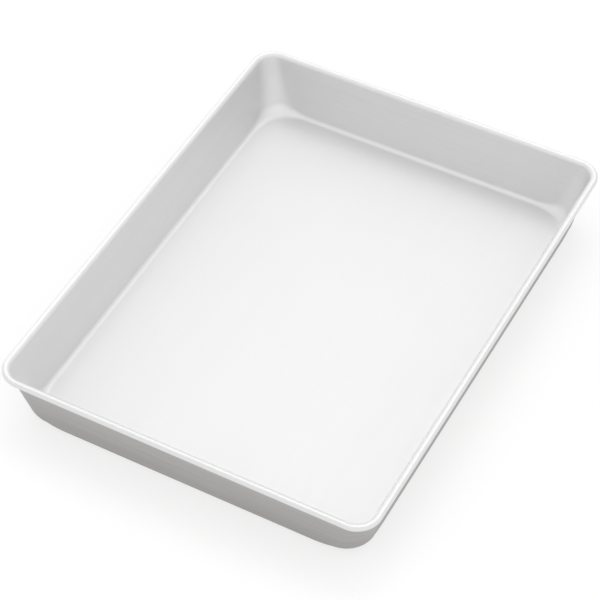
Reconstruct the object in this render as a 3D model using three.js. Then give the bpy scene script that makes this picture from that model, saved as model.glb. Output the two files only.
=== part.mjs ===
// Rectangular sheet-cake pan: one drawn aluminium shell whose rim is rolled outwards over a steel wire.
// Millimetres, +Z up. The origin is under the middle of the floor and +Y runs along the long side.
import * as THREE from "three";

// Driving dimensions
const RIM_LENGTH = 398.4; // overall, over the rolled rim, along Y
const RIM_WIDTH = 300.6; // overall, over the rolled rim, along X
const RIM_CORNER_RADIUS = 19.1; // plan radius over the rolled rim
const DEPTH = 50.8; // from the floor's inner face to the top of the rim
const SHEET = 1.2; // thickness of the drawn sheet
const SIDE_WALL_DRAFT = 9.8; // degrees by which the two long walls lean out
const END_WALL_DRAFT = 9.1; // degrees by which the two short walls lean out
const SIDE_FILLET = 4; // inner radius between floor and wall along the straight sides
const FOOT_CORNER_RADIUS = 20; // plan radius of the inner face where wall and floor would meet
const FLOOR_CORNER_RADIUS = 32; // plan radius of the flat floor, so the fillets widen into the corners
const FLARE_RADIUS = 4; // inner radius by which the top of the wall first bends outwards
const FLARE_TURN = 70; // degrees of that bend, before the sheet curls tighter round the wire
const WIRE_DIAMETER = 2;
const WIRE_CLEARANCE = 0.2; // all round the wire, inside the curl
const WIRE_BUTT_GAP = 1.2; // between the wire's two cut ends
const CURL_SLIT = 0.35; // between the curl's cut edge and the sheet that it curls back to

// Facets
const CORNER_STEPS = 8;
const GROWTH_STEPS = 4;
const FILLET_STEPS = 5;
const FLARE_STEPS = 4;
const CURL_STEPS = 15;
const WIRE_SIDES = 12;

const RIGHT_ANGLE = Math.PI / 2;
const FULL_TURN = 2 * Math.PI;

// Bead section: wire, clearance and sheet, from the middle outwards
const WIRE_RADIUS = WIRE_DIAMETER / 2;
const CURL_INNER_RADIUS = WIRE_RADIUS + WIRE_CLEARANCE;
const BEAD_RADIUS = CURL_INNER_RADIUS + SHEET;

// Flare section: the flare runs smoothly into the curl, so both middles lie in line with where they join.
const FLARE_ANGLE = THREE.MathUtils.degToRad(FLARE_TURN);
const FLARE_TO_BEAD = FLARE_RADIUS - BEAD_RADIUS;
const WALL_TO_BEAD = FLARE_RADIUS - FLARE_TO_BEAD * Math.cos(FLARE_ANGLE);

// The curl goes round from the flare until its cut edge lies one slit below the flare's under face.
// A flare too tight to take the edge in leaves the curl half closed.
const FLARE_TO_EDGE = FLARE_RADIUS - SHEET - CURL_SLIT;
const EDGE_COSINE =
  (FLARE_TO_EDGE ** 2 - FLARE_TO_BEAD ** 2 - BEAD_RADIUS ** 2) / (2 * FLARE_TO_BEAD * BEAD_RADIUS);
const CURL_ANGLE = FULL_TURN - Math.acos(THREE.MathUtils.clamp(EDGE_COSINE, -1, 1));

// Heights over the surface that the pan stands on
const FLOOR_TOP = SHEET;
const BEAD_HEIGHT = FLOOR_TOP + DEPTH - BEAD_RADIUS;
const WALL_RISE = BEAD_HEIGHT - FLOOR_TOP;

// How far the foot of a leaning wall lies inside the bead's centre line.
// The wall's inner face passes the bead's middle at a fixed distance, which the flare sets.
function footInset(draft) {
  return (WALL_TO_BEAD + WALL_RISE * Math.sin(draft)) / Math.cos(draft);
}

// The lean of a wall whose foot lies at this inset: the inverse of footInset.
function wallLean(inset) {
  return Math.acos(WALL_TO_BEAD / Math.hypot(inset, WALL_RISE)) - Math.atan2(WALL_RISE, inset);
}

// How far a fillet reaches in over the floor from the foot of a leaning wall, as a share of its radius.
function filletReach(lean) {
  return (1 - Math.sin(lean)) / Math.cos(lean);
}

// Plan outlines: rounded rectangles by half sizes and corner radius
const sideDraft = THREE.MathUtils.degToRad(SIDE_WALL_DRAFT);
const endDraft = THREE.MathUtils.degToRad(END_WALL_DRAFT);
const beadOutline = {
  halfX: RIM_WIDTH / 2 - BEAD_RADIUS,
  halfY: RIM_LENGTH / 2 - BEAD_RADIUS,
  radius: RIM_CORNER_RADIUS - BEAD_RADIUS,
};
const footOutline = {
  halfX: beadOutline.halfX - footInset(sideDraft),
  halfY: beadOutline.halfY - footInset(endDraft),
  radius: FOOT_CORNER_RADIUS,
};
const floorOutline = {
  halfX: footOutline.halfX - SIDE_FILLET * filletReach(sideDraft),
  halfY: footOutline.halfY - SIDE_FILLET * filletReach(endDraft),
  radius: FLOOR_CORNER_RADIUS,
};

function direction(angle) {
  return new THREE.Vector2(Math.cos(angle), Math.sin(angle));
}

// The centre of a corner's arc.
function cornerCentre(outline, quarter) {
  const middle = direction((quarter + 0.5) * RIGHT_ANGLE);
  return new THREE.Vector2(
    Math.sign(middle.x) * (outline.halfX - outline.radius),
    Math.sign(middle.y) * (outline.halfY - outline.radius),
  );
}

// A point of an outline: on a corner's arc at an angle, then on along the straight side by a run.
function outlinePoint(outline, quarter, angle, run) {
  const onArc = cornerCentre(outline, quarter).addScaledVector(direction(angle), outline.radius);
  return onArc.addScaledVector(direction(angle + RIGHT_ANGLE), run);
}

// A place on the way round the pan: the bead and the wall's foot there, the way out,
// and how far the fillet reaches in from the foot to the rounded corner of the flat floor.
function station(quarter, angle, run) {
  const foot = outlinePoint(footOutline, quarter, angle, run);
  const out = direction(angle);
  const fromCentre = foot.clone().sub(cornerCentre(floorOutline, quarter));
  return {
    bead: outlinePoint(beadOutline, quarter, angle, run),
    foot,
    out,
    reach: fromCentre.dot(out) - Math.sqrt(floorOutline.radius ** 2 - fromCentre.cross(out) ** 2),
  };
}

// How much of the straight side next to a corner lies along the flat floor's wider arc.
function growthRun(quarter, angle) {
  const between = cornerCentre(footOutline, quarter).sub(cornerCentre(floorOutline, quarter));
  return Math.abs(between.dot(direction(angle + RIGHT_ANGLE)));
}

// The arc of one corner.
function bendStations(quarter) {
  const stations = [];
  for (let step = 0; step <= CORNER_STEPS; step += 1) {
    stations.push(station(quarter, (quarter + step / CORNER_STEPS) * RIGHT_ANGLE, 0));
  }
  return stations;
}

// One corner with the parts of its two straight sides in which the fillet still grows.
function cornerStations(quarter) {
  const start = quarter * RIGHT_ANGLE;
  const end = start + RIGHT_ANGLE;
  const arriving = [];
  const leaving = [];
  for (let step = 1; step <= GROWTH_STEPS; step += 1) {
    const part = step / GROWTH_STEPS;
    arriving.unshift(station(quarter, start, -part * growthRun(quarter, start)));
    leaving.push(station(quarter, end, part * growthRun(quarter, end)));
  }
  return [...arriving, ...bendStations(quarter), ...leaving];
}

// Points of an arc in a section, as distance out and height.
function arc(out, height, radius, from, to, steps) {
  const points = [];
  for (let step = 0; step <= steps; step += 1) {
    const angle = THREE.MathUtils.lerp(from, to, step / steps);
    points.push(new THREE.Vector2(out, height).addScaledVector(direction(angle), radius));
  }
  return points;
}

// Stands section points up in space, over a plan point and along its way out.
function placed(points, plan, out) {
  return points.map((p) => new THREE.Vector3(plan.x + out.x * p.x, plan.y + out.y * p.x, p.y));
}

// Section of the shell at a station: from the floor's inner face up the wall, over the flare, round the
// curl, and back down the outer face to the underside. On each face the flare and the curl share a point.
function shellSection({ bead, foot, out, reach }) {
  const lean = wallLean(bead.clone().sub(foot).dot(out));
  const fillet = reach / filletReach(lean);
  const filletHeight = FLOOR_TOP + fillet;
  const flareStart = Math.PI - lean;
  const curlStart = flareStart - FLARE_ANGLE;
  const curlEnd = curlStart - CURL_ANGLE;
  const { x: flareOut, y: flareHeight } = new THREE.Vector2(0, BEAD_HEIGHT)
    .addScaledVector(direction(curlStart), -FLARE_TO_BEAD);
  const innerFlare = arc(flareOut, flareHeight, FLARE_RADIUS, flareStart, curlStart, FLARE_STEPS);
  const outerFlare = arc(flareOut, flareHeight, FLARE_RADIUS - SHEET, curlStart, flareStart, FLARE_STEPS);
  return [
    ...placed(arc(-reach, filletHeight, fillet, -RIGHT_ANGLE, -lean, FILLET_STEPS), foot, out),
    ...placed(innerFlare.slice(0, -1), bead, out),
    ...placed(arc(0, BEAD_HEIGHT, BEAD_RADIUS, curlStart, curlEnd, CURL_STEPS), bead, out),
    ...placed(arc(0, BEAD_HEIGHT, CURL_INNER_RADIUS, curlEnd, curlStart, CURL_STEPS), bead, out),
    ...placed(outerFlare.slice(1), bead, out),
    ...placed(arc(-reach, filletHeight, fillet + SHEET, -lean, -RIGHT_ANGLE, FILLET_STEPS), foot, out),
  ];
}

// Section of the wire at a plan point: one turn of its round, without the closing point.
function wireSection({ bead, out }) {
  return placed(arc(0, BEAD_HEIGHT, WIRE_RADIUS, FULL_TURN, 0, WIRE_SIDES).slice(1), bead, out);
}

// Triangles between neighbouring sections that all have the same number of points.
function loftTriangles(sections, closedPath, closedSection) {
  const count = sections[0].length;
  const triangles = [];
  for (let i = 0; i < sections.length - (closedPath ? 0 : 1); i += 1) {
    const here = i * count;
    const next = ((i + 1) % sections.length) * count;
    for (let j = 0; j < count - (closedSection ? 0 : 1); j += 1) {
      const k = (j + 1) % count;
      triangles.push([here + j, here + k, next + k], [here + j, next + k, next + j]);
    }
  }
  return triangles;
}

// Triangles over a flat loop of corners, facing the way its plan turns counter-clockwise.
function capTriangles(plan, indices) {
  return THREE.ShapeUtils.triangulateShape(plan, []).map((face) => face.map((corner) => indices[corner]));
}

function solid(sections, triangles) {
  const geometry = new THREE.BufferGeometry().setFromPoints(sections.flat());
  geometry.setIndex(triangles.flat());
  geometry.computeVertexNormals();
  return geometry;
}

// The drawn shell: the wall's section lofted round the pan, closed by the two faces of the flat floor.
function panShell() {
  const sections = [0, 1, 2, 3].flatMap(cornerStations).map(shellSection);
  const count = sections[0].length;
  const floorEdge = sections.map((section) => new THREE.Vector2(section[0].x, section[0].y));
  const innerFace = capTriangles(floorEdge, sections.map((_, i) => i * count));
  const underside = capTriangles(floorEdge, sections.map((_, i) => (i + 1) * count - 1));
  return solid(sections, [
    ...loftTriangles(sections, true, false),
    ...innerFace,
    ...underside.map((face) => face.toReversed()),
  ]);
}

// The wire in the curl: one length bent round the pan, its ends butted in the middle of the +Y side.
function rimWire() {
  const ends = [-1, 1].map((side) => ({
    bead: new THREE.Vector2((side * WIRE_BUTT_GAP) / 2, beadOutline.halfY),
    out: direction(RIGHT_ANGLE),
  }));
  const bends = [1, 2, 3, 0].flatMap(bendStations);
  const sections = [ends[0], ...bends, ends[1]].map(wireSection);
  const lastStart = (sections.length - 1) * WIRE_SIDES;
  const endFace = [];
  for (let j = 1; j < WIRE_SIDES - 1; j += 1) {
    endFace.push([0, j, j + 1]);
  }
  return solid(sections, [
    ...loftTriangles(sections, false, true),
    ...endFace.map((face) => face.toReversed()),
    ...endFace.map((face) => face.map((corner) => lastStart + corner)),
  ]);
}

function namedMesh(name, geometry, material) {
  const mesh = new THREE.Mesh(geometry, material);
  mesh.name = name;
  return mesh;
}

const aluminium = new THREE.MeshStandardMaterial({ color: 0xe4e5e6, roughness: 0.42, metalness: 1 });
const galvanisedSteel = new THREE.MeshStandardMaterial({ color: 0xa9adb1, roughness: 0.5, metalness: 1 });

const cakePan = new THREE.Group();
cakePan.add(namedMesh("pan_shell", panShell(), aluminium));
cakePan.add(namedMesh("rim_wire", rimWire(), galvanisedSteel));

export default cakePan;
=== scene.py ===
"""Looks of a rectangular cake pan: one drawn sheet of aluminium, its rim rolled over a steel wire.

Metres, +Z up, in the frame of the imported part: the origin is under the middle of the floor and +Y
runs along the long side. The shell is lofted again from the part's own sizes, with round stretches
fine enough for reflections, and the wire keeps its solid.
"""
import math
from typing import NamedTuple

import bpy
from mathutils import Matrix, Vector


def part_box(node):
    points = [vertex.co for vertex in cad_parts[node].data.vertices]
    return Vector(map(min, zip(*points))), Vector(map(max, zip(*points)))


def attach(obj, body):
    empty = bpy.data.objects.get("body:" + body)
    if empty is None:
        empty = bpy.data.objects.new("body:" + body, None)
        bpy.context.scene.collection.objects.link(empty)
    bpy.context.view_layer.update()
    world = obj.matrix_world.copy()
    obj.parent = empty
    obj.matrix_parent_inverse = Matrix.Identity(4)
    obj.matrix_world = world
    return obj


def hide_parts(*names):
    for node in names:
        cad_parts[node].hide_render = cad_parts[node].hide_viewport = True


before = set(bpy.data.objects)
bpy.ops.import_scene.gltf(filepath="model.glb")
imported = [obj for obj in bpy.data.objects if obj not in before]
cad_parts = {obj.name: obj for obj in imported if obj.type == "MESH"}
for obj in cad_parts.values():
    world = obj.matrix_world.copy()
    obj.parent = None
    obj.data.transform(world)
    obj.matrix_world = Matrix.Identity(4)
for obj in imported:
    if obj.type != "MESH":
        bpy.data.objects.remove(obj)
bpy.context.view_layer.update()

MM = 0.001
RIGHT_ANGLE = math.pi / 2
FULL_TURN = 2 * math.pi

# The rim's place and the underside's height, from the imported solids
wire_low, wire_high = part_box("rim_wire")
shell_low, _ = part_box("pan_shell")
WIRE_RADIUS = (wire_high.z - wire_low.z) / 2
BEAD_HEIGHT = (wire_high.z + wire_low.z) / 2
BEAD_HALF_X = wire_high.x - WIRE_RADIUS
BEAD_HALF_Y = wire_high.y - WIRE_RADIUS
UNDERSIDE = shell_low.z

# The sheet's own sizes, as in the part
SHEET = 1.2 * MM
WIRE_CLEARANCE = 0.2 * MM
CURL_SLIT = 0.35 * MM
SIDE_WALL_DRAFT = math.radians(9.8)
END_WALL_DRAFT = math.radians(9.1)
RIM_CORNER_RADIUS = 19.1 * MM
FOOT_CORNER_RADIUS = 20 * MM
FLOOR_CORNER_RADIUS = 32 * MM
SIDE_FILLET = 4 * MM
FLARE_RADIUS = 4 * MM
FLARE_TURN = math.radians(70)

# Sizes that follow from these
CURL_INNER_RADIUS = WIRE_RADIUS + WIRE_CLEARANCE
BEAD_RADIUS = CURL_INNER_RADIUS + SHEET
FLOOR_TOP = UNDERSIDE + SHEET
WALL_RISE = BEAD_HEIGHT - FLOOR_TOP

# From the flare's middle to the bead's middle and to the curl's cut edge, and from the wall's inner
# face to the bead's middle
FLARE_TO_BEAD = FLARE_RADIUS - BEAD_RADIUS
FLARE_TO_EDGE = FLARE_RADIUS - SHEET - CURL_SLIT
WALL_TO_BEAD = FLARE_RADIUS - FLARE_TO_BEAD * math.cos(FLARE_TURN)
CURL_TURN = FULL_TURN - math.acos(
    (FLARE_TO_EDGE ** 2 - FLARE_TO_BEAD ** 2 - BEAD_RADIUS ** 2)
    / (2 * FLARE_TO_BEAD * BEAD_RADIUS)
)

# Fineness of the loft
BEND_STEPS = 28
GROWTH_STEPS = 10
STRAIGHT_STEP = 15 * MM
FILLET_STEPS = 14
FLARE_STEPS = 10
CURL_STEPS = 48
WALL_ROWS = 6
SUPPORT = 0.4 * MM  # flat margin beside a round stretch, which keeps the flats' shading flat
SHARP_EDGE = math.radians(40)  # bends beyond this are shaded as edges


class Outline(NamedTuple):
    """A rounded rectangle in plan."""

    half_x: float
    half_y: float
    radius: float


class Station(NamedTuple):
    """A place on the way round the pan."""

    bead: Vector
    foot: Vector
    out: Vector
    reach: float  # how far the fillet reaches in from the foot


def foot_inset(draft):
    """How far the foot of a leaning wall lies inside the bead's centre line."""
    return (WALL_TO_BEAD + WALL_RISE * math.sin(draft)) / math.cos(draft)


def wall_lean(inset):
    """The lean of a wall whose foot lies at this inset."""
    to_foot = math.hypot(inset, WALL_RISE)
    return math.acos(WALL_TO_BEAD / to_foot) - math.atan2(WALL_RISE, inset)


def fillet_reach(lean):
    """How far a fillet reaches in from the foot of a leaning wall, as a share of its radius."""
    return (1 - math.sin(lean)) / math.cos(lean)


BEAD_OUTLINE = Outline(BEAD_HALF_X, BEAD_HALF_Y, RIM_CORNER_RADIUS - BEAD_RADIUS)
FOOT_OUTLINE = Outline(
    BEAD_HALF_X - foot_inset(SIDE_WALL_DRAFT),
    BEAD_HALF_Y - foot_inset(END_WALL_DRAFT),
    FOOT_CORNER_RADIUS,
)
FLOOR_OUTLINE = Outline(
    FOOT_OUTLINE.half_x - SIDE_FILLET * fillet_reach(SIDE_WALL_DRAFT),
    FOOT_OUTLINE.half_y - SIDE_FILLET * fillet_reach(END_WALL_DRAFT),
    FLOOR_CORNER_RADIUS,
)


def direction(angle):
    return Vector((math.cos(angle), math.sin(angle)))


def blend(a, b, share):
    return a + (b - a) * share


def corner_centre(outline, quarter):
    middle = direction((quarter + 0.5) * RIGHT_ANGLE)
    return Vector((
        math.copysign(outline.half_x - outline.radius, middle.x),
        math.copysign(outline.half_y - outline.radius, middle.y),
    ))


def outline_point(outline, quarter, angle, run):
    """A point on a corner's arc at an angle, then on along the straight side by a run."""
    centre = corner_centre(outline, quarter)
    return centre + direction(angle) * outline.radius + direction(angle + RIGHT_ANGLE) * run


def station(quarter, turn, run):
    """A station in a corner, turned by a share of its bend, or on a side by a run from it."""
    angle = (quarter + turn) * RIGHT_ANGLE
    out = direction(angle)
    foot = outline_point(FOOT_OUTLINE, quarter, angle, run)
    from_centre = foot - corner_centre(FLOOR_OUTLINE, quarter)
    along, across = from_centre.dot(out), from_centre.cross(out)
    return Station(
        outline_point(BEAD_OUTLINE, quarter, angle, run),
        foot,
        out,
        along - math.sqrt(FLOOR_OUTLINE.radius ** 2 - across ** 2),
    )


def growth_runs(quarter, turn):
    """Runs on the straight side beside a corner where the flat floor's wider arc still bends in."""
    between = corner_centre(FOOT_OUTLINE, quarter) - corner_centre(FLOOR_OUTLINE, quarter)
    longest = abs(between.dot(direction((quarter + turn + 1) * RIGHT_ANGLE)))
    return [longest * step / GROWTH_STEPS for step in range(1, GROWTH_STEPS + 1)]


def corner_stations(quarter):
    """One corner, with the parts of its two straight sides in which the fillet still grows."""
    arriving = [station(quarter, 0, -run) for run in reversed(growth_runs(quarter, 0))]
    bend = [station(quarter, step / BEND_STEPS, 0) for step in range(BEND_STEPS + 1)]
    leaving = [station(quarter, 1, run) for run in growth_runs(quarter, 1)]
    return arriving + bend + leaving


def straight_stations(start, end):
    """Evenly spaced stations strictly between two on the same straight side."""
    count = math.ceil((end.foot - start.foot).length / STRAIGHT_STEP)
    return [
        Station(
            start.bead.lerp(end.bead, step / count),
            start.foot.lerp(end.foot, step / count),
            start.out,
            start.reach,
        )
        for step in range(1, count)
    ]


def round_the_pan():
    corners = [corner_stations(quarter) for quarter in range(4)]
    stations = []
    for corner, following in zip(corners, corners[1:] + corners[:1]):
        stations += corner + straight_stations(corner[-1], following[0])
    return stations


def arc(plan, out, middle_out, middle_height, radius, start, end, steps):
    """Points of an arc in the upright plane through a plan point and its way out."""
    points = []
    for step in range(steps + 1):
        turned = direction(blend(start, end, step / steps)) * radius
        at = plan + out * (middle_out + turned.x)
        points.append(Vector((at.x, at.y, middle_height + turned.y)))
    return points


def wall_rows(start, end):
    """Points on the straight line between two, with a margin beside each end."""
    margin = SUPPORT / (end - start).length
    shares = [blend(margin, 1 - margin, row / WALL_ROWS) for row in range(WALL_ROWS + 1)]
    return [start.lerp(end, share) for share in shares]


def shell_section(here):
    """The sheet's two sides at a station.

    The bright side runs from the floor up and over the curl, and the mill side from the curl's
    inside back down to the underside.
    """
    lean = wall_lean((here.bead - here.foot).dot(here.out))
    fillet = here.reach / fillet_reach(lean)
    fillet_at = (here.foot, here.out, -here.reach, FLOOR_TOP + fillet)
    bead_at = (here.bead, here.out, 0, BEAD_HEIGHT)
    flare_start = math.pi - lean
    curl_start = flare_start - FLARE_TURN
    curl_end = curl_start - CURL_TURN
    flare_middle = direction(curl_start) * -FLARE_TO_BEAD
    flare_at = (here.bead, here.out, flare_middle.x, BEAD_HEIGHT + flare_middle.y)
    inner_fillet = arc(*fillet_at, fillet, -RIGHT_ANGLE, -lean, FILLET_STEPS)
    outer_fillet = arc(*fillet_at, fillet + SHEET, -lean, -RIGHT_ANGLE, FILLET_STEPS)
    inner_flare = arc(*flare_at, FLARE_RADIUS, flare_start, curl_start, FLARE_STEPS)[:-1]
    outer_flare = arc(*flare_at, FLARE_RADIUS - SHEET, curl_start, flare_start, FLARE_STEPS)[1:]
    curl_outside = arc(*bead_at, BEAD_RADIUS, curl_start, curl_end, CURL_STEPS)
    curl_inside = arc(*bead_at, CURL_INNER_RADIUS, curl_end, curl_start, CURL_STEPS)
    inwards = Vector((*(here.out * -SUPPORT), 0))
    bright = [
        inner_fillet[0] + inwards,
        *inner_fillet,
        *wall_rows(inner_fillet[-1], inner_flare[0]),
        *inner_flare,
        *curl_outside,
    ]
    mill = [
        *curl_inside,
        *outer_flare,
        *wall_rows(outer_flare[-1], outer_fillet[0]),
        *outer_fillet,
        outer_fillet[-1] + inwards,
    ]
    return bright, mill


def new_object(name, data):
    made = bpy.data.objects.new(name, data)
    bpy.context.scene.collection.objects.link(made)
    return made


BRIGHT_SIDE, MILL_SIDE = 0, 1  # material slots of the shell


def drawn_shell():
    """The whole shell as one closed, smooth mesh, with a material for each side of its sheet."""
    sections = [shell_section(here) for here in round_the_pan()]
    points = [point for bright, mill in sections for point in bright + mill]
    rounds = len(sections)
    count = len(points) // rounds
    last_bright = len(sections[0][0]) - 1
    faces, sides = [], []
    for i in range(rounds):
        here, following = i * count, (i + 1) % rounds * count
        for j in range(count - 1):
            faces.append((here + j, here + j + 1, following + j + 1, following + j))
            sides.append(BRIGHT_SIDE if j < last_bright else MILL_SIDE)
    # The flat of the floor, and its underside
    faces.append([i * count for i in range(rounds)])
    faces.append([(i + 1) * count - 1 for i in reversed(range(rounds))])
    sides += [BRIGHT_SIDE, MILL_SIDE]
    mesh = bpy.data.meshes.new("drawn_shell")
    mesh.from_pydata(points, [], faces)
    mesh.materials.append(bright_aluminium())
    mesh.materials.append(mill_aluminium_painted_shade())
    mesh.polygons.foreach_set("material_index", sides)
    mesh.polygons.foreach_set("use_smooth", [True] * len(mesh.polygons))
    mesh.set_sharp_from_angle(angle=SHARP_EDGE)
    mesh.validate()
    return new_object("drawn_shell", mesh)


class Noise(NamedTuple):
    """A noise over a piece, with the least and the most that it adds to the finish."""

    fineness: tuple[int, int, int]  # features per metre along X, Y and Z
    detail: int
    roughness: tuple[float, float] = (0.0, 0.0)
    tint: tuple[float, float] = (0.0, 0.0)  # as a share of the way between two tints


NOISE_SPAN = (0.3, 0.7)  # holds nearly all values of a noise
BUMP_STRENGTH = 0.15

# The bright side's roughness, and the heights over which it changes
FLOOR_ROUGHNESS = 0.65
FILLET_ROUGHNESS = 0.44
WALL_ROUGHNESS = 0.5
BEAD_ROUGHNESS = 0.56
FLOOR_TO_FILLET = (FLOOR_TOP, FLOOR_TOP + 1 * MM)
FILLET_TO_WALL = (FLOOR_TOP + 0.7 * SIDE_FILLET, FLOOR_TOP + 1.2 * SIDE_FILLET)
WALL_TO_RIM = (BEAD_HEIGHT - BEAD_RADIUS, BEAD_HEIGHT - BEAD_RADIUS / 2)

# The bright side's tint, and the heights over which its lines and the painted highlight in its
# corners come and go
BRIGHT_TINT_LOW = (0.78, 0.78, 0.78, 1)
BRIGHT_TINT_HIGH = (0.82, 0.82, 0.82, 1)
# Painted highlight: a lighter tint low in the corners' bends, standing in for the bright band that
# the corners reflect
PAINTED_CORNER_HIGHLIGHT_TINT = (0.89, 0.89, 0.89, 1)
LINES_SET_IN = (FLOOR_TOP + SIDE_FILLET, FLOOR_TOP + 2 * SIDE_FILLET)
CORNER_HIGHLIGHT_SETS_IN = (FLOOR_TOP + 4 * MM, FLOOR_TOP + 10 * MM)
CORNER_HIGHLIGHT_FADES = (FLOOR_TOP + 13 * MM, FLOOR_TOP + 40 * MM)

BRIGHT_GRAIN = Noise((2200, 2200, 2200), 3)
BRIGHT_ROLLING = Noise((1100, 9, 1100), 2, roughness=(-0.015, 0.015))  # lines along the pan
BRIGHT_DRAWING = Noise((6, 6, 380), 3, tint=(-0.25, 0.25))  # lines round the walls
BRIGHT_BLOTCH = Noise((14, 14, 14), 4, roughness=(-0.012, 0.012), tint=(0.4, 0.6))
BRIGHT_BUMP = 0.02 * MM

# The mill side's tint, painted shade for the shadowed floor that the outside mirrors, darkest at
# the foot for the contact shadow; it changes from the foot to the rim over these heights
MILL_FOOT_PAINTED_SHADE = (0.37, 0.36, 0.35, 1)
MILL_RIM_PAINTED_SHADE = (0.515, 0.505, 0.495, 1)
MILL_FOOT_SHARE = 0.35  # of that change, within the foot
MILL_FOOT = (UNDERSIDE, UNDERSIDE + 4 * MM)
MILL_WALL = (UNDERSIDE + 4 * MM, BEAD_HEIGHT)
MILL_SCUFFED = (UNDERSIDE, UNDERSIDE + 1.5 * MM)  # over which the scuffs fade

MILL_GRAIN = Noise((1800, 1800, 1800), 3)
MILL_DRAWING = Noise((13, 13, 560), 4, roughness=(-0.05, 0.05), tint=(-0.25, 0.25))
MILL_SCUFF = Noise((420, 11, 11), 5, roughness=(-0.12, 0.06))
MILL_BLOTCH = Noise((18, 18, 18), 4, roughness=(0.52, 0.6), tint=(-0.09, 0.09))
MILL_BUMP = 0.03 * MM

# The wire's zinc, with its spangles
SPANGLE_FINENESS = 900.0  # per metre
SPANGLE_SPAN = (0.0, 1.0)
WIRE_ROUGHNESS = (0.4, 0.6)
WIRE_TINT_LOW = (0.55, 0.57, 0.6, 1)
WIRE_TINT_HIGH = (0.68, 0.7, 0.71, 1)


def add_node(tree, kind, inputs=None, **settings):
    """Adds a node. An input given as a socket is linked, and any other is set as a value."""
    made = tree.nodes.new(kind)
    for name, value in settings.items():
        setattr(made, name, value)
    for name, value in (inputs or {}).items():
        if isinstance(value, bpy.types.NodeSocket):
            tree.links.new(value, made.inputs[name])
        else:
            made.inputs[name].default_value = value
    return made


def new_material(name):
    material = bpy.data.materials.new(name)
    material.use_nodes = True
    material.node_tree.nodes.clear()
    return material, material.node_tree


def calculated(tree, operation, *values):
    """What a Math node makes of sockets and numbers."""
    inputs = dict(enumerate(values))
    return add_node(tree, "ShaderNodeMath", inputs, operation=operation).outputs["Value"]


def total(tree, *values):
    whole = values[0]
    for value in values[1:]:
        whole = calculated(tree, "ADD", whole, value)
    return whole


def product(tree, a, b):
    return calculated(tree, "MULTIPLY", a, b)


def changing(tree, value, span, low, high):
    """A number that goes from low to high while a value goes through a span."""
    inputs = {
        "Value": value,
        "From Min": span[0],
        "From Max": span[1],
        "To Min": low,
        "To Max": high,
    }
    return add_node(tree, "ShaderNodeMapRange", inputs).outputs["Result"]


def mixed(tree, share, a, b):
    """A colour between two."""
    inputs = {"Factor": share, "A": a, "B": b}
    return add_node(tree, "ShaderNodeMix", inputs, data_type="RGBA").outputs["Result"]


def place_on_piece(tree):
    return add_node(tree, "ShaderNodeTexCoord").outputs["Object"]


def in_parts(tree, place):
    return add_node(tree, "ShaderNodeSeparateXYZ", {"Vector": place}).outputs


def noise(tree, place, kind):
    mapped = add_node(tree, "ShaderNodeMapping", {"Vector": place, "Scale": kind.fineness})
    inputs = {"Vector": mapped.outputs["Vector"], "Scale": 1.0, "Detail": kind.detail}
    return add_node(tree, "ShaderNodeTexNoise", inputs).outputs["Fac"]


def spread(tree, value, limits):
    """A noise spread between two limits."""
    return changing(tree, value, NOISE_SPAN, *limits)


def corner_bend(tree, parts):
    """A share that is highest in the middle of a corner's bend and nothing on straight sides."""
    shares = []
    for axis, half in ("X", FOOT_OUTLINE.half_x), ("Y", FOOT_OUTLINE.half_y):
        off_middle = calculated(tree, "ABSOLUTE", parts[axis])
        shares.append(changing(tree, off_middle, (half - FOOT_CORNER_RADIUS, half), 0.0, 1.0))
    return product(tree, *shares)


def relief(tree, height, depth):
    inputs = {"Height": height, "Strength": BUMP_STRENGTH, "Distance": depth}
    return add_node(tree, "ShaderNodeBump", inputs).outputs["Normal"]


def metal_output(tree, tint, roughness, normal=None):
    inputs = {"Base Color": tint, "Metallic": 1.0, "Roughness": roughness}
    if normal is not None:
        inputs["Normal"] = normal
    shader = add_node(tree, "ShaderNodeBsdfPrincipled", inputs)
    add_node(tree, "ShaderNodeOutputMaterial", {"Surface": shader.outputs["BSDF"]})


def bright_aluminium():
    """The satin inside: a dull floor, burnished fillets, faint drawing lines, and a painted
    highlight that lightens the tint low in the corners' bends.
    """
    material, tree = new_material("bright_aluminium")
    place = place_on_piece(tree)
    parts = in_parts(tree, place)
    height = parts["Z"]
    grain = noise(tree, place, BRIGHT_GRAIN)
    rolling = noise(tree, place, BRIGHT_ROLLING)
    drawing = noise(tree, place, BRIGHT_DRAWING)
    blotch = noise(tree, place, BRIGHT_BLOTCH)
    roughness = total(
        tree,
        changing(tree, height, FLOOR_TO_FILLET, FLOOR_ROUGHNESS, FILLET_ROUGHNESS),
        changing(tree, height, FILLET_TO_WALL, 0.0, WALL_ROUGHNESS - FILLET_ROUGHNESS),
        changing(tree, height, WALL_TO_RIM, 0.0, BEAD_ROUGHNESS - WALL_ROUGHNESS),
        spread(tree, rolling, BRIGHT_ROLLING.roughness),
        spread(tree, blotch, BRIGHT_BLOTCH.roughness),
    )
    on_walls = changing(tree, height, LINES_SET_IN, 0.0, 1.0)
    lines = product(tree, on_walls, spread(tree, drawing, BRIGHT_DRAWING.tint))
    lightness = total(tree, spread(tree, blotch, BRIGHT_BLOTCH.tint), lines)
    satin = mixed(tree, lightness, BRIGHT_TINT_LOW, BRIGHT_TINT_HIGH)
    # Painted highlight: where the tint is lightened, low on the walls in the corners' bends
    on_low_walls = total(
        tree,
        changing(tree, height, CORNER_HIGHLIGHT_SETS_IN, 0.0, 1.0),
        changing(tree, height, CORNER_HIGHLIGHT_FADES, 0.0, -1.0),
    )
    painted_corner_highlight = product(tree, on_low_walls, corner_bend(tree, parts))
    tint = mixed(tree, painted_corner_highlight, satin, PAINTED_CORNER_HIGHLIGHT_TINT)
    metal_output(tree, tint, roughness, relief(tree, total(tree, grain, rolling), BRIGHT_BUMP))
    return material


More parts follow.
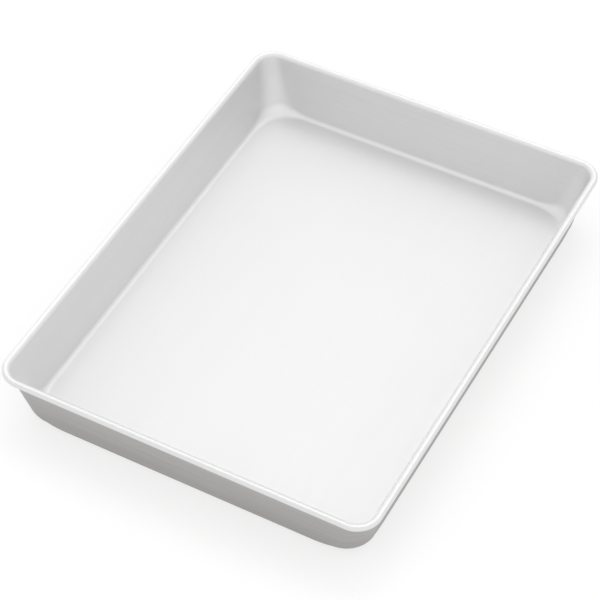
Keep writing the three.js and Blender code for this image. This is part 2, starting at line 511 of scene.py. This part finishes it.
def mill_aluminium_painted_shade():
    """The duller outside: a tint darkened as painted shade, darker still to the foot as painted
    contact shadow, with lines round the walls and scuffs underneath.
    """
    material, tree = new_material("mill_aluminium_painted_shade")
    place = place_on_piece(tree)
    height = in_parts(tree, place)["Z"]
    grain = noise(tree, place, MILL_GRAIN)
    drawing = noise(tree, place, MILL_DRAWING)
    scuff = noise(tree, place, MILL_SCUFF)
    blotch = noise(tree, place, MILL_BLOTCH)
    underneath = changing(tree, height, MILL_SCUFFED, 1.0, 0.0)
    roughness = total(
        tree,
        spread(tree, blotch, MILL_BLOTCH.roughness),
        spread(tree, drawing, MILL_DRAWING.roughness),
        product(tree, underneath, spread(tree, scuff, MILL_SCUFF.roughness)),
    )
    # Painted shade: the tint darkens towards the foot, with its blotches and drawing lines on top
    lightness = total(
        tree,
        changing(tree, height, MILL_FOOT, 0.0, MILL_FOOT_SHARE),
        changing(tree, height, MILL_WALL, 0.0, 1 - MILL_FOOT_SHARE),
        spread(tree, blotch, MILL_BLOTCH.tint),
        spread(tree, drawing, MILL_DRAWING.tint),
    )
    tint = mixed(tree, lightness, MILL_FOOT_PAINTED_SHADE, MILL_RIM_PAINTED_SHADE)
    metal_output(tree, tint, roughness, relief(tree, total(tree, grain, drawing), MILL_BUMP))
    return material


def galvanised_steel():
    material, tree = new_material("galvanised_steel")
    inputs = {"Vector": place_on_piece(tree), "Scale": SPANGLE_FINENESS}
    spangle = add_node(tree, "ShaderNodeTexVoronoi", inputs).outputs["Distance"]
    roughness = changing(tree, spangle, SPANGLE_SPAN, *WIRE_ROUGHNESS)
    metal_output(tree, mixed(tree, spangle, WIRE_TINT_LOW, WIRE_TINT_HIGH), roughness)
    return material


class Patch(NamedTuple):
    """A round patch of light that fades out to all sides."""

    azimuth: float  # degrees from +X
    elevation: float  # degrees
    sharpness: float  # higher for a smaller patch
    strength: float


# The light: an even white tent with soft patches on it
WHITE = (1, 1, 1, 1)
TENT_LEVEL = 0.935
SOFT_BOX = (  # wide, high behind the pan
    Patch(azimuth=112, elevation=64, sharpness=40, strength=2.7),
    Patch(azimuth=73, elevation=60, sharpness=40, strength=0.62),
)
CARDS = (  # low on the left, low on the right, and in front
    Patch(azimuth=150, elevation=8, sharpness=16, strength=0.52),
    Patch(azimuth=0, elevation=8, sharpness=8, strength=0.15),
    Patch(azimuth=300, elevation=35, sharpness=8, strength=0.15),
)

# The floor's paper, which takes the pan's shadow, and the even glow that makes it up to white
FLOOR_PAPER = (0.34, 0.34, 0.34, 1)
FLOOR_GLOW = 0.66
FLOOR_HALF = 60.0  # so wide that low views show no edge


def studio_floor():
    """A paper floor, whose glow is seen and mirrored but lights nothing else."""
    material, tree = new_material("studio_floor")
    paper = add_node(tree, "ShaderNodeBsdfDiffuse", {"Color": FLOOR_PAPER}).outputs["BSDF"]
    rays = add_node(tree, "ShaderNodeLightPath").outputs
    shown = calculated(tree, "MAXIMUM", rays["Is Camera Ray"], rays["Is Glossy Ray"])
    shown = calculated(tree, "MAXIMUM", shown, rays["Is Transmission Ray"])
    glow = add_node(tree, "ShaderNodeEmission", {"Strength": product(tree, shown, FLOOR_GLOW)})
    both = add_node(tree, "ShaderNodeAddShader", {0: paper, 1: glow.outputs["Emission"]})
    add_node(tree, "ShaderNodeOutputMaterial", {"Surface": both.outputs["Shader"]})
    signs = ((-1, -1), (1, -1), (1, 1), (-1, 1))
    corners = [(x * FLOOR_HALF, y * FLOOR_HALF, UNDERSIDE) for x, y in signs]
    mesh = bpy.data.meshes.new("studio_floor")
    mesh.from_pydata(corners, [], [(0, 1, 2, 3)])
    mesh.materials.append(material)
    floor = new_object("studio_floor", mesh)


def patch_light(tree, towards, patch):
    azimuth, elevation = math.radians(patch.azimuth), math.radians(patch.elevation)
    middle = Vector((*(direction(azimuth) * math.cos(elevation)), math.sin(elevation)))
    nearness = add_node(
        tree, "ShaderNodeVectorMath", {0: towards, 1: middle}, operation="DOT_PRODUCT",
    ).outputs["Value"]
    falling = calculated(tree, "MULTIPLY_ADD", nearness, patch.sharpness, -patch.sharpness)
    return product(tree, calculated(tree, "EXPONENT", falling), patch.strength)


def studio_world():
    world = bpy.data.worlds.new("studio_world")
    world.use_nodes = True
    tree = world.node_tree
    tree.nodes.clear()
    towards = add_node(tree, "ShaderNodeTexCoord").outputs["Generated"]
    patches = [patch_light(tree, towards, patch) for patch in SOFT_BOX + CARDS]
    sky = total(tree, *patches, TENT_LEVEL)
    light = add_node(tree, "ShaderNodeBackground", {"Color": WHITE, "Strength": sky})
    add_node(tree, "ShaderNodeOutputWorld", {"Surface": light.outputs["Background"]})
    bpy.context.scene.world = world


# The camera, fitted to the photograph's rim, base and floor lines
CAMERA_AZIMUTH = math.radians(28.508)
CAMERA_ELEVATION = math.radians(47.739)
CAMERA_ROLL = math.radians(-0.270)
CAMERA_TARGET = Vector((-13.74 * MM, 7.77 * MM, 0.4 * MM))
CAMERA_DISTANCE = 1724.3 * MM
CAMERA_LENS = 136.42  # millimetres
CAMERA_SENSOR = 36.0  # millimetres


def studio_camera():
    flat = math.cos(CAMERA_ELEVATION)
    back = Vector((
        math.sin(CAMERA_AZIMUTH) * flat,
        -math.cos(CAMERA_AZIMUTH) * flat,
        math.sin(CAMERA_ELEVATION),
    ))
    level = Vector((math.cos(CAMERA_AZIMUTH), math.sin(CAMERA_AZIMUTH), 0))
    upright = back.cross(level)
    right = level * math.cos(CAMERA_ROLL) + upright * math.sin(CAMERA_ROLL)
    up = upright * math.cos(CAMERA_ROLL) - level * math.sin(CAMERA_ROLL)
    data = bpy.data.cameras.new("camera")
    data.sensor_width = CAMERA_SENSOR
    data.lens = CAMERA_LENS
    camera = new_object("camera", data)
    camera.matrix_world = (
        Matrix.Translation(CAMERA_TARGET + back * CAMERA_DISTANCE)
        @ Matrix((right, up, back)).transposed().to_4x4()
    )
    bpy.context.scene.camera = camera


shell = drawn_shell()
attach(shell, "root")
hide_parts("pan_shell")

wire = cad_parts["rim_wire"]
wire.data.materials.clear()
wire.data.materials.append(galvanised_steel())

studio_floor()
studio_world()
studio_camera()
bpy.context.scene.view_settings.view_transform = "Standard"
